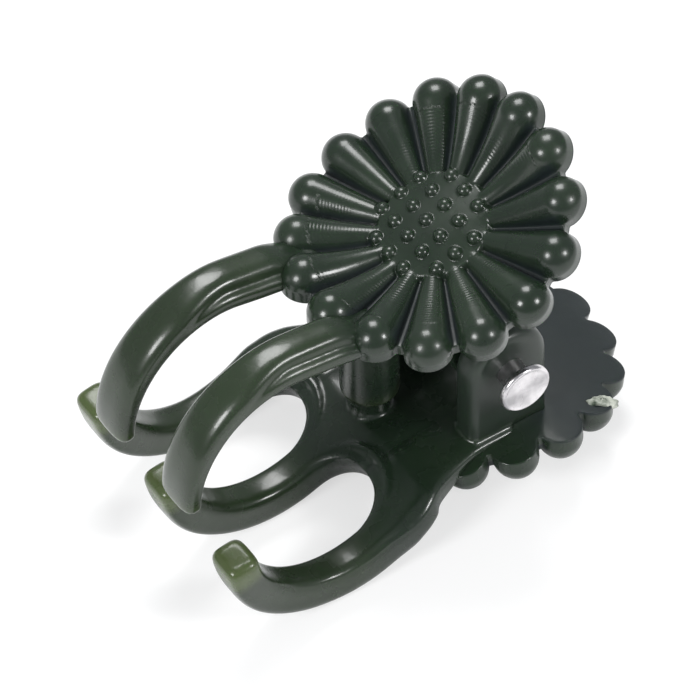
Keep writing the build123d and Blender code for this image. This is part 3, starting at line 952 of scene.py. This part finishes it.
def wire_tube(line, radius, count=20):
    """Circle of the wire carried along the line: centre + r (cos t a + sin t b), where a and b are both
    square to the line's direction, and a is also square to the hinge axis."""
    ahead = np.gradient(line, axis=0)
    ahead /= np.linalg.norm(ahead, axis=1)[:, None]
    first = np.cross(ahead, [0.0, 1.0, 0.0])
    first /= np.linalg.norm(first, axis=1)[:, None]
    second = np.cross(ahead, first)
    turn = np.arange(count) * 2 * math.pi / count
    rounding = np.ones(len(line))
    rounding[[0, -1]] = wire_end_share
    ring = np.cos(turn)[None, :, None] * first[:, None] + np.sin(turn)[None, :, None] * second[:, None]
    return closed_grid(line[:, None] + ring * (radius * rounding)[:, None, None])


torsion_spring = mesh_from("spring_piece", [wire_tube(wire_line, wire_radius)])


# %% [markdown]
# One petal of the lower flower still carries the stub of the moulding gate, broken off and whitened.
# A sculpted lump would look right too, but its skin is a simple thing: a ball pushed in and out by a few
# fixed waves looks torn, and comes out the same each time.

# %% Gate stub
gate_petal = 2
gate_aside = 89.0
gate_size = (1.05, 0.5, 0.5)
gate_reach = 9.95
gate_lie = math.radians(-27.0)
gate_sink = 0.85


def torn_lump(size, rows=24, columns=32):
    """Ball scaled to the size, with its radius at the angles u and v changed to
    1 + 0.16 sin(3u + 2v) cos(5v + u) + 0.07 sin(7u - 4v)."""
    v = np.linspace(0.06, math.pi - 0.06, rows)[:, None]
    u = np.arange(columns)[None, :] * 2 * math.pi / columns
    swell = 1 + 0.16 * np.sin(3 * u + 2 * v) * np.cos(5 * v + u) + 0.07 * np.sin(7 * u - 4 * v)
    x = np.cos(u) * np.sin(v) * swell * size[0]
    y = np.sin(u) * np.sin(v) * swell * size[1]
    z = np.cos(v) * np.ones_like(u) * swell * size[2]
    return np.stack([x, y, z], axis=-1)


gate_turn = math.radians(petal_phase + gate_petal * petal_step - gate_aside)
lump = torn_lump(gate_size)
lie_x = lump[..., 0] * math.cos(gate_lie) - lump[..., 1] * math.sin(gate_lie)
lie_y = lump[..., 0] * math.sin(gate_lie) + lump[..., 1] * math.cos(gate_lie)
gate_x = gate_reach * math.cos(gate_turn) + lie_x
gate_y = gate_reach * math.sin(gate_turn) + lie_y
gate_z = lump[..., 2] - gate_sink + gate_x**2 / 2 / lower_bend
gate_flat = np.stack([gate_x, gate_y, gate_z], axis=-1)
gate_grid = place_on_plate(gate_flat, lower_slope, -1, lower_distance, lower_rearward)
gate_stub = mesh_from("gate_stub", [closed_grid(gate_grid)])


# %% [markdown]
# All finishes are node materials, and they share a few steps: noise on Object coordinates, a colour
# ramp and a bump. The nodes could be placed one by one, but small helpers keep each material short. The
# noise scales are in cycles per metre, so 420 means grains of about two millimetres.

# %% Material helpers
mix_first = 6
mix_second = 7
mix_colour = 2


def new_material(name):
    """Material with nodes and its Principled shader."""
    material = bpy.data.materials.new(name)
    material.use_nodes = True
    shader = material.node_tree.nodes["Principled BSDF"]
    return material, shader


def add_node(material, kind, **values):
    """New node of a kind, with its own settings given by name."""
    node = material.node_tree.nodes.new(kind)
    for key, value in values.items():
        setattr(node, key, value)
    return node


def noise(material, scale, detail):
    """Noise on Object coordinates, in cycles per metre, with a number of finer layers over it."""
    place = add_node(material, "ShaderNodeTexCoord")
    texture = add_node(material, "ShaderNodeTexNoise")
    texture.inputs["Scale"].default_value = scale
    texture.inputs["Detail"].default_value = detail
    material.node_tree.links.new(place.outputs["Object"], texture.inputs["Vector"])
    return texture.outputs["Fac"]


def ramp(material, source, stops):
    """Colour ramp through (place, colour) stops."""
    node = add_node(material, "ShaderNodeValToRGB")
    elements = node.color_ramp.elements
    while len(elements) < len(stops):
        elements.new(0.5)
    for element, (place, colour) in zip(elements, stops):
        element.position = place
        element.color = (*colour, 1)
    material.node_tree.links.new(source, node.inputs["Fac"])
    return node.outputs["Color"]


def attribute(material, name):
    """The number that the mesh's points carry under a name."""
    return add_node(material, "ShaderNodeAttribute", attribute_name=name).outputs["Fac"]


def tinted(material, share, colour, over):
    """Mixes a colour over another by a share."""
    node = add_node(material, "ShaderNodeMix", data_type="RGBA")
    material.node_tree.links.new(share, node.inputs["Factor"])
    material.node_tree.links.new(over, node.inputs[mix_first])
    node.inputs[mix_second].default_value = (*colour, 1)
    return node.outputs[mix_colour]


def scaled_sum(material, source, factor, addend):
    """source * factor + addend, where the addend is a number or another output."""
    node = add_node(material, "ShaderNodeMath", operation="MULTIPLY_ADD")
    node.inputs[1].default_value = factor
    material.node_tree.links.new(source, node.inputs[0])
    if isinstance(addend, float):
        node.inputs[2].default_value = addend
    else:
        material.node_tree.links.new(addend, node.inputs[2])
    return node.outputs[0]


def grey(value):
    """The same number three times, for ramps that drive roughness."""
    return (value, value, value)


def bump(material, source, strength, distance_mm):
    """Bump node whose height is the source, in millimetres at full strength."""
    node = add_node(material, "ShaderNodeBump")
    node.inputs["Strength"].default_value = strength
    node.inputs["Distance"].default_value = distance_mm / 1000
    material.node_tree.links.new(source, node.inputs["Height"])
    return node


print("mix node takes its colours at sockets", mix_first, "and", mix_second)


# %% [markdown]
# The plastic is a very dark bottle green. Light shining through the thin prong tips is painted in as an
# olive tint, and the same tint paints a sheen along the prongs and light on the ears. A bluer dark green
# paints shade in the grooves and a bluish reflection on backs and ears, and those places are rougher too.
# Three materials could share the job, but their borders would show. One material covers both jaws, and
# numbers on the points say how much painted glow, and how much dullness with painted shade, each place
# gets. Its cloudiness is noise.

# %% Green plastic colour
green_deep = (0.0084, 0.0158, 0.0093)
green_mid = (0.0134, 0.0236, 0.0132)
olive_glow = (0.055, 0.075, 0.026)
shade_and_reflection_green = (0.0078, 0.0132, 0.0136)

green, shader = new_material("green_plastic")
links = green.node_tree.links
cloud = ramp(green, noise(green, 160, 2.0), [(0.35, green_deep), (0.7, green_mid)])
dull_and_painted_light = attribute(green, "dull_and_painted_light")
# The olive tint is painted light: glow through the tips and the post end, sheen along the prongs, light on
# the ears.
tint = tinted(green, attribute(green, "painted_glow"), olive_glow, cloud)
# The bluer dark green is painted shade in the grooves and a painted bluish reflection on backs and ears.
links.new(tinted(green, dull_and_painted_light, shade_and_reflection_green, tint), shader.inputs["Base Color"])
print("green plastic from", green_deep, "to", green_mid)


# %% [markdown]
# The gloss looks wet: a moulded skin is smooth, with a thin clear layer of resin at its surface. The
# sheen could come from a very low roughness, but then the highlights would be hard and even. Here the
# roughness varies a little with noise under a weak coat, and both fade where the plastic is dull.

# %% Green plastic gloss
dull_roughness = 0.26
coat_weight = 0.18

gloss = ramp(green, noise(green, 420, 4.0), [(0.3, grey(0.21)), (0.75, grey(0.35))])
links.new(scaled_sum(green, dull_and_painted_light, dull_roughness, gloss), shader.inputs["Roughness"])
links.new(scaled_sum(green, dull_and_painted_light, -coat_weight, coat_weight), shader.inputs["Coat Weight"])
shader.inputs["IOR"].default_value = 1.42
shader.inputs["Coat Roughness"].default_value = 0.07
shader.inputs["Coat IOR"].default_value = 1.45
shader.inputs["Subsurface Weight"].default_value = 0.12
shader.inputs["Subsurface Radius"].default_value = (0.4, 1.0, 0.3)
shader.inputs["Subsurface Scale"].default_value = 0.0008
print("coat", coat_weight)


# %% [markdown]
# The mould was turned and filed, so faint rings run round the flower and the highlights waver. Rings
# this low could be geometry, but it would take millions of faces, and a bump is right for them. They are
# a sine of the distance from the flower's middle, broken up by patchy noise, over fine and broad
# unevenness.

# %% Green plastic marks
ring_radians_per_mm = 28.0
ripple_mm = 0.007
fine_mm = 0.06
broad_mm = 0.14

tooling = add_node(green, "ShaderNodeMath", operation="MULTIPLY")
tooling.inputs[1].default_value = ring_radians_per_mm
links.new(attribute(green, "ring"), tooling.inputs[0])
wave = add_node(green, "ShaderNodeMath", operation="SINE")
links.new(tooling.outputs[0], wave.inputs[0])
patchy = ramp(green, noise(green, 260, 1.0), [(0.46, grey(0)), (0.6, grey(1))])
marks = add_node(green, "ShaderNodeMath", operation="MULTIPLY")
links.new(wave.outputs[0], marks.inputs[0])
links.new(patchy, marks.inputs[1])
ripple = bump(green, marks.outputs[0], 0.5, ripple_mm)
fine = bump(green, noise(green, 650, 3.0), 0.34, fine_mm)
broad = bump(green, noise(green, 190, 2.0), 0.5, broad_mm)
links.new(broad.outputs["Normal"], fine.inputs["Normal"])
links.new(fine.outputs["Normal"], ripple.inputs["Normal"])
links.new(ripple.outputs["Normal"], shader.inputs["Normal"])
print("tooling rings lie", 2 * math.pi / ring_radians_per_mm, "mm apart")


# %% [markdown]
# Plastic that is broken off turns white, because it is full of fine cracks. It could be painted on by
# hand, but the cracks have no pattern, so noise between dark green and off-white is enough, with a
# rough bump.

# %% Torn plastic
torn, shader = new_material("torn_plastic")
links = torn.node_tree.links
stress = ramp(torn, noise(torn, 1500, 4.0), [(0.36, (0.05, 0.07, 0.045)), (0.62, (0.42, 0.44, 0.38))])
links.new(stress, shader.inputs["Base Color"])
torn_bump = bump(torn, noise(torn, 2500, 4.0), 0.6, 0.08)
links.new(torn_bump.outputs["Normal"], shader.inputs["Normal"])
shader.inputs["Roughness"].default_value = 0.45
print("torn plastic ready")


# %% [markdown]
# The pin is plated steel with small dents from riveting, and the spring is drawn wire, a little duller.
# Both could be one plain metal, but a metal with one tone all over looks like a drawing. Noise moves
# their tone and their roughness, and the pin has a faint bump besides.

# %% Steel and wire
steel, shader = new_material("pin_steel")
links = steel.node_tree.links
shader.inputs["Metallic"].default_value = 1.0
steel_tone = ramp(steel, noise(steel, 520, 3.0), [(0.36, (0.36, 0.35, 0.36)), (0.62, (0.66, 0.64, 0.65))])
links.new(steel_tone, shader.inputs["Base Color"])
steel_gloss = ramp(steel, noise(steel, 700, 4.0), [(0.3, grey(0.16)), (0.7, grey(0.38))])
links.new(steel_gloss, shader.inputs["Roughness"])
steel_bump = bump(steel, noise(steel, 900, 3.0), 0.3, 0.05)
links.new(steel_bump.outputs["Normal"], shader.inputs["Normal"])

wire, shader = new_material("spring_wire")
links = wire.node_tree.links
shader.inputs["Metallic"].default_value = 1.0
wire_tone = ramp(wire, noise(wire, 500, 3.0), [(0.3, (0.42, 0.42, 0.43)), (0.7, (0.56, 0.56, 0.57))])
links.new(wire_tone, shader.inputs["Base Color"])
wire_gloss = ramp(wire, noise(wire, 1200, 3.0), [(0.3, grey(0.22)), (0.8, grey(0.38))])
links.new(wire_gloss, shader.inputs["Roughness"])
print("materials", [material.name for material in (green, torn, steel, wire)])


# %% [markdown]
# The green material asks each point how much painted glow it gets. Near a prong's end the plastic is
# thinnest, and the olive there is painted light shining through it. Along the prongs it is a weaker painted
# sheen, and at the ears a little painted light on their faces. The places could be painted by hand, but the
# turn of a point about its ring already says how far along the prong it lies. The numbers are written on
# the points, where they stay when the jaw moves.

# %% Painted glow and sheen
tip_x = -19.0
tip_fade = (15.0, 3.0)
sheen_share = 0.13
sheen_start = -11.0
sheen_full = -15.0
ear_front = -3.6
ear_foot = -5.6
ear_glow = 0.12
ear_dull_and_reflection = 0.5


def turn_about(points, centre):
    """Angle of each point about a ring's centre in the side view, from 0 to 360 degrees."""
    return np.degrees(np.arctan2(points[:, 2] - centre[1], points[:, 0] - centre[0])) % 360.0


def write_number(piece, name, values):
    """Stores one number a point, which the material reads by name."""
    stored = piece.data.attributes.new(name, "FLOAT", "POINT")
    stored.data.foreach_set("value", values.astype(np.float32))


lower_points = read_points(lower_jaw_body)
lower_turn = turn_about(lower_points, lower_ring)
# Painted glow of light shining through the prong tips.
near_tip = ease(lower_turn, lower_tip_turn + tip_fade[0], lower_tip_turn + tip_fade[1])
lower_glow = np.where(lower_points[:, 0] < tip_x, near_tip, 0.0)
# Painted sheen along the prongs, growing toward their tips.
prong_sheen = sheen_share * ease(lower_points[:, 0], sheen_start, sheen_full)
# A little painted light on the ears' faces.
at_ear = (lower_points[:, 0] > ear_front) & (lower_points[:, 2] > ear_foot)
lower_glow = np.maximum(lower_glow, np.where(at_ear, ear_glow, prong_sheen))
write_number(lower_jaw_body, "painted_glow", lower_glow)
# The ears are rougher and take a painted bluish reflection.
write_number(lower_jaw_body, "dull_and_painted_light", np.where(at_ear, ear_dull_and_reflection, 0.0))
print("glow points of the lower jaw", int((lower_glow > 0.1).sum()))


# %% [markdown]
# The upper jaw is done in the same way. Its tips bend down into the shade and show less of the olive
# glow, and the end of its stop post gets painted glow as well. One rule for both jaws would need as many
# exceptions as it has lines, so each has its own.

# %% Painted glow of the upper jaw
upper_tip_x = -20.0
upper_tip_fade = 10.0
upper_tip_glow = 0.3
post_end_glow = 0.3
post_reach = 2.8
post_half_width = 2.6

upper_points = read_points(upper_jaw_body)
upper_turn = turn_about(upper_points, upper_ring)
near_tip = upper_tip_glow * ease(upper_turn, upper_tip_turn - upper_tip_fade, upper_tip_turn)
upper_glow = np.where(upper_points[:, 0] < upper_tip_x, near_tip, 0.0)
prong_sheen = sheen_share * ease(upper_points[:, 0], -10.0, -14.0)
beside_post = np.abs(upper_points[:, 0] + post_forward)
at_post = (np.abs(upper_points[:, 1]) < post_half_width) & (beside_post < post_reach)
# Painted glow at the end of the stop post.
post_glow = post_end_glow * ease(upper_points[:, 2], -2.5, -4.6)
upper_glow = np.maximum(upper_glow, np.where(at_post, post_glow, prong_sheen))
write_number(upper_jaw_body, "painted_glow", upper_glow)
print("glow points of the upper jaw", int((upper_glow > 0.1).sum()))


# %% [markdown]
# On the flowers two more numbers are written: how dull a point is, with its painted shade or reflection,
# and its distance from the middle for the tooling rings. The grooves are rougher and darkened with painted
# shade, and the rear half of a plate's back is rougher with a painted bluish reflection. A mask could be
# painted, but the height over the bent plate already tells the face from the back, once the roll is undone.

# %% Dull places, painted shade and rings of the flowers
back_from = -0.8 * skirt_depth
top_from = -0.3
ring_end = 8.4


def flower_numbers(flower, slope, side, distance, rearward, bend):
    """Writes the dullness, which carries painted shade and reflection, and the ring numbers. With x and z
    along and out from the plate's middle, the height over the bent plate is R - sqrt(x^2 + (R - z)^2)."""
    rear, out = plate_axes(slope, side)
    points = read_points(flower)
    from_middle = points[:, [0, 2]] - (rear * rearward + out * distance)
    along = from_middle @ rear
    above = bend - np.hypot(along, bend - from_middle @ out)
    radius = np.hypot(along, points[:, 1])
    turn = np.degrees(np.arctan2(points[:, 1], along))
    across = (turn - petal_phase + petal_step / 2) % petal_step / petal_step
    # Grooves darken with painted shade and the rear of the back takes a painted bluish reflection; both are
    # rougher.
    groove_shade = ease(np.abs(across - 0.5), 0.36, 0.45) * ease(radius, 4.0, 4.8) * ease(radius, 10.0, 9.2)
    on_top = above > top_from
    on_back = above < back_from
    write_number(flower, "dull_and_painted_light", np.where(on_back, ease(along, -2.5, 2.5), np.where(on_top, groove_shade, 0.0)))
    ringed = on_top & (radius > disc_radius) & (radius < ring_end)
    write_number(flower, "ring", np.where(ringed, radius, 0.0))
    print(flower.name, "ringed points", int(ringed.sum()))


flower_numbers(upper_flower, upper_slope, 1, upper_distance, upper_rearward, upper_bend)
flower_numbers(lower_flower, lower_slope, -1, lower_distance, lower_rearward, lower_bend)


# %% [markdown]
# Each piece now gets its material and the body that it rides on, so that it moves with its jaw. A body
# is an empty, made when it is first needed, and the piece is parented to it. The spring belongs to both
# jaws and rides on neither: its place is baked into its points. Where a piece stands in for a solid,
# that solid is hidden by name.

# %% Finish, ride and replace
def finish_piece(piece, material, body):
    """Gives the piece its material and the body that it rides on."""
    piece.data.materials.clear()
    piece.data.materials.append(material)
    if body:
        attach(piece, body)


finish_piece(upper_flower, green, upper_body)
finish_piece(upper_jaw_body, green, upper_body)
finish_piece(lower_flower, green, lower_body)
finish_piece(lower_jaw_body, green, lower_body)
finish_piece(gate_stub, torn, lower_body)
finish_piece(hinge_pin, steel, lower_body)
finish_piece(torsion_spring, wire, None)
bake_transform(torsion_spring)
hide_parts("upper_jaw")
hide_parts("lower_jaw")
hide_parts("hinge_pin")
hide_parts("torsion_spring")
print("coil runs", 2 * coil_half, "mm along the pin")


# %% [markdown]
# The clip lies on a pale sheet, large enough that its edge never shows. A ready-made plane would do as
# well. It is made from a grid of points like all the rest.

# %% Floor
def floor_surface(half_width_mm=700.0, count=40):
    """Flat square on the ground, as a grid of points at z = 0."""
    line = np.linspace(-half_width_mm, half_width_mm, count)
    x, y = np.meshgrid(line, line, indexing="ij")
    points = np.stack([x, y, np.zeros_like(x)], axis=-1).reshape(-1, 3) / 1000
    row, column = np.meshgrid(np.arange(count - 1), np.arange(count - 1), indexing="ij")
    here = (row * count + column).ravel()
    faces = np.stack([here, here + count, here + count + 1, here + 1], axis=-1)
    mesh = bpy.data.meshes.new("floor")
    mesh.from_pydata(points.tolist(), [], faces.tolist())
    piece = bpy.data.objects.new("floor", mesh)
    bpy.context.scene.collection.objects.link(piece)
    return piece


floor = floor_surface()
print("floor is", floor.dimensions[0], "m wide")


# %% [markdown]
# In the photograph the sheet is white with a soft shadow. A white floor in plain light would need so
# much light that the clip went pale. Instead, floor and sky look white only to rays from the camera and
# to rays that pass through something. The floor mixes some of its own shade in, which keeps the shadow.

# %% White surroundings
floor_tone = (0.9, 0.9, 0.9, 1)
floor_roughness = 0.9
floor_white_share = 0.62
pure_white = (1, 1, 1, 1)
sky_tone = (0.93, 0.96, 1.0, 1)
sky_strength = 0.42


def seen_directly(tree):
    """Output that is 1 for camera and transmission rays and 0 for all others: the larger of the two."""
    path = tree.nodes.new("ShaderNodeLightPath")
    either = tree.nodes.new("ShaderNodeMath")
    either.operation = "MAXIMUM"
    tree.links.new(path.outputs["Is Camera Ray"], either.inputs[0])
    tree.links.new(path.outputs["Is Transmission Ray"], either.inputs[1])
    return either.outputs[0]


def mixed_shader(tree, share, plain, white, target):
    """Shows the white shader by the share and the plain one otherwise, and leads the mix to the target."""
    mix = tree.nodes.new("ShaderNodeMixShader")
    tree.links.new(share, mix.inputs["Fac"])
    tree.links.new(plain, mix.inputs[1])
    tree.links.new(white, mix.inputs[2])
    tree.links.new(mix.outputs[0], target)


floor_white, floor_shader = new_material("floor_white")
floor_shader.inputs["Base Color"].default_value = floor_tone
floor_shader.inputs["Roughness"].default_value = floor_roughness
tree = floor_white.node_tree
glow = tree.nodes.new("ShaderNodeEmission")
glow.inputs["Color"].default_value = pure_white
glow.inputs["Strength"].default_value = 1.0
share = tree.nodes.new("ShaderNodeMath")
share.operation = "MULTIPLY"
share.inputs[1].default_value = floor_white_share
tree.links.new(seen_directly(tree), share.inputs[0])
floor_target = tree.nodes["Material Output"].inputs["Surface"]
mixed_shader(tree, share.outputs[0], floor_shader.outputs[0], glow.outputs[0], floor_target)
floor.data.materials.append(floor_white)

world = bpy.data.worlds.new("sky")
bpy.context.scene.world = world
world.use_nodes = True
tree = world.node_tree
background = tree.nodes["Background"]
background.inputs["Color"].default_value = sky_tone
background.inputs["Strength"].default_value = sky_strength
white_back = tree.nodes.new("ShaderNodeBackground")
white_back.inputs["Color"].default_value = pure_white
white_back.inputs["Strength"].default_value = 1.0
sky_target = tree.nodes["World Output"].inputs["Surface"]
mixed_shader(tree, seen_directly(tree), background.outputs[0], white_back.outputs[0], sky_target)
print("sky strength", sky_strength)


# %% [markdown]
# The photograph was taken with a long lens, looking down at about 48 degrees from the near left. The
# camera could be placed by eye, but then nothing could be measured against the picture. So it was
# fitted to the outlines, and its place follows from the fitted turn and the fitted offset of the hinge
# axis. The fit had its own axes, and the clip lay a little tilted in them, so both are turned back here.

# %% Camera
fit_turn = np.array([-2.162866, 0.458979, -0.585663])
fit_shift = np.array([7.0212, -3.25728])
fit_scale = 14.479564
fit_nearness = 0.001113
rest_turn = math.radians(5.7)
image_width = 700.0


def turn_matrix(vector):
    """Rotation about a vector by its length: I + sin(t) K + (1 - cos(t)) K^2."""
    angle = np.linalg.norm(vector)
    k = vector / angle
    cross = np.array([[0, -k[2], k[1]], [k[2], 0, -k[0]], [-k[1], k[0], 0]])
    return np.eye(3) + math.sin(angle) * cross + (1 - math.cos(angle)) * cross @ cross


settle = np.array([
    [math.cos(rest_turn), math.sin(rest_turn), 0],
    [-math.sin(rest_turn), math.cos(rest_turn), 0],
    [0, 0, 1]])
view_rows = turn_matrix(fit_turn) @ settle
camera_distance = 1.0 / fit_nearness
camera_at = view_rows.T @ np.array([-fit_shift[0], -fit_shift[1], -camera_distance])


def swap_axes(v):
    """(x, z, -y) of the fit to (x, y, z) of the clip."""
    return np.array([v[0], -v[2], v[1]])


camera_data = bpy.data.cameras.new("photo_camera")
camera_data.sensor_width = 36.0
camera_data.lens = fit_scale * camera_distance / image_width * camera_data.sensor_width
camera_data.clip_start = 0.05
camera_data.clip_end = 20.0
camera = bpy.data.objects.new("photo_camera", camera_data)
bpy.context.scene.collection.objects.link(camera)
bpy.context.scene.camera = camera
axes = np.stack([swap_axes(view_rows[0]), -swap_axes(view_rows[1]), -swap_axes(view_rows[2])], axis=1)
place = np.eye(4)
place[:3, :3] = axes
place[:3, 3] = to_row(swap_axes(camera_at))
camera.matrix_world = Matrix(place.tolist())
print("camera at", place[:3, 3], "lens", camera_data.lens)


# %% [markdown]
# Each petal's end shows three small highlights in the photograph. One sun lamp would give a single hard
# one. So three square area lamps stand at the turns and heights at which their reflections land on the
# petals as in the picture, and they are weak, so that the green keeps its depth.

# %% Lamps
lamp_distance = 0.55
aim_height = 0.012


def soft_box(name, azimuth, elevation, size_m, power):
    """Square lamp on a sphere round the clip. Azimuth 0 is on the -Y side and 90 on the -X side."""
    turn = math.radians(azimuth)
    lift = math.radians(elevation)
    way = np.array([-math.sin(turn) * math.cos(lift), -math.cos(turn) * math.cos(lift), math.sin(lift)])
    data = bpy.data.lights.new(name, "AREA")
    data.shape = "SQUARE"
    data.size = size_m
    data.energy = power
    lamp = bpy.data.objects.new(name, data)
    bpy.context.scene.collection.objects.link(lamp)
    side = np.cross([0, 0, 1.0], way)
    side /= np.linalg.norm(side)
    turned = np.eye(4)
    turned[:3, :3] = np.stack([side, np.cross(way, side), way], axis=1)
    turned[:3, 3] = way * lamp_distance + np.array([0, 0, aim_height])
    lamp.matrix_world = Matrix(turned.tolist())
    print(name, "at", turned[:3, 3])


soft_box("lamp_back", 206.0, 60.0, 0.24, 2.5)
soft_box("lamp_left", 78.0, 36.0, 0.16, 2.0)
soft_box("lamp_right", -30.0, 34.0, 0.12, 1.6)


# %% [markdown]
# Last, the colours are shown as they are given, with the plain view transform, because a film-like one
# would change the green.

# %% Show the colours plainly
bpy.context.scene.view_settings.view_transform = "Standard"
